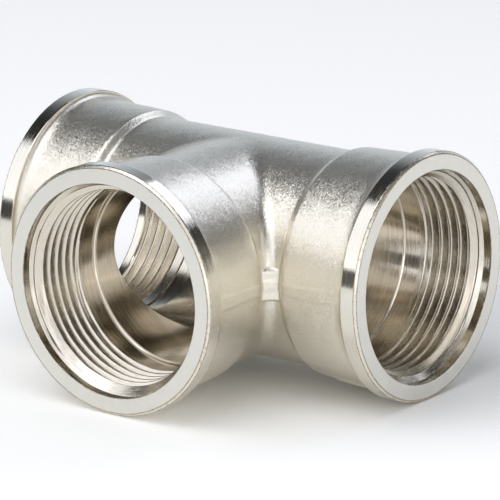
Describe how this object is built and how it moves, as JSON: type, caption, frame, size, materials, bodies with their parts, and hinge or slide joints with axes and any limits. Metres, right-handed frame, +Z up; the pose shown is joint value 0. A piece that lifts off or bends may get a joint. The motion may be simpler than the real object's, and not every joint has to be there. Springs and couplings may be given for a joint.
{
  "type": "pipe tee fitting",
  "caption": "Equal pipe tee with female threaded ports, turned collars at the mouths and round waterways that meet at right angles.",
  "frame": {"origin": "the point where the run's axis and the branch's axis cross, in the middle of the waterway", "axes": "+X along the run towards the right port, -Y out of the branch port, +Z up, square to both ports"},
  "size_m": [0.09, 0.0701, 0.0502],
  "materials": {
    "blasted_nickel": "satin, shot-blasted forging skin under dull nickel plate",
    "turned_nickel": "bright, fine turned nickel plate",
    "bored_nickel": "bright, bored and threaded nickel plate"
  },
  "bodies": {
    "root": {"forged_barrel": "blasted_nickel", "left_socket": "blasted_nickel", "right_socket": "blasted_nickel", "branch_socket": "blasted_nickel", "left_collar": "turned_nickel", "right_collar": "turned_nickel", "branch_collar": "turned_nickel", "left_thread": "bored_nickel", "right_thread": "bored_nickel", "branch_thread": "bored_nickel"}
  },
  "joints": []
}
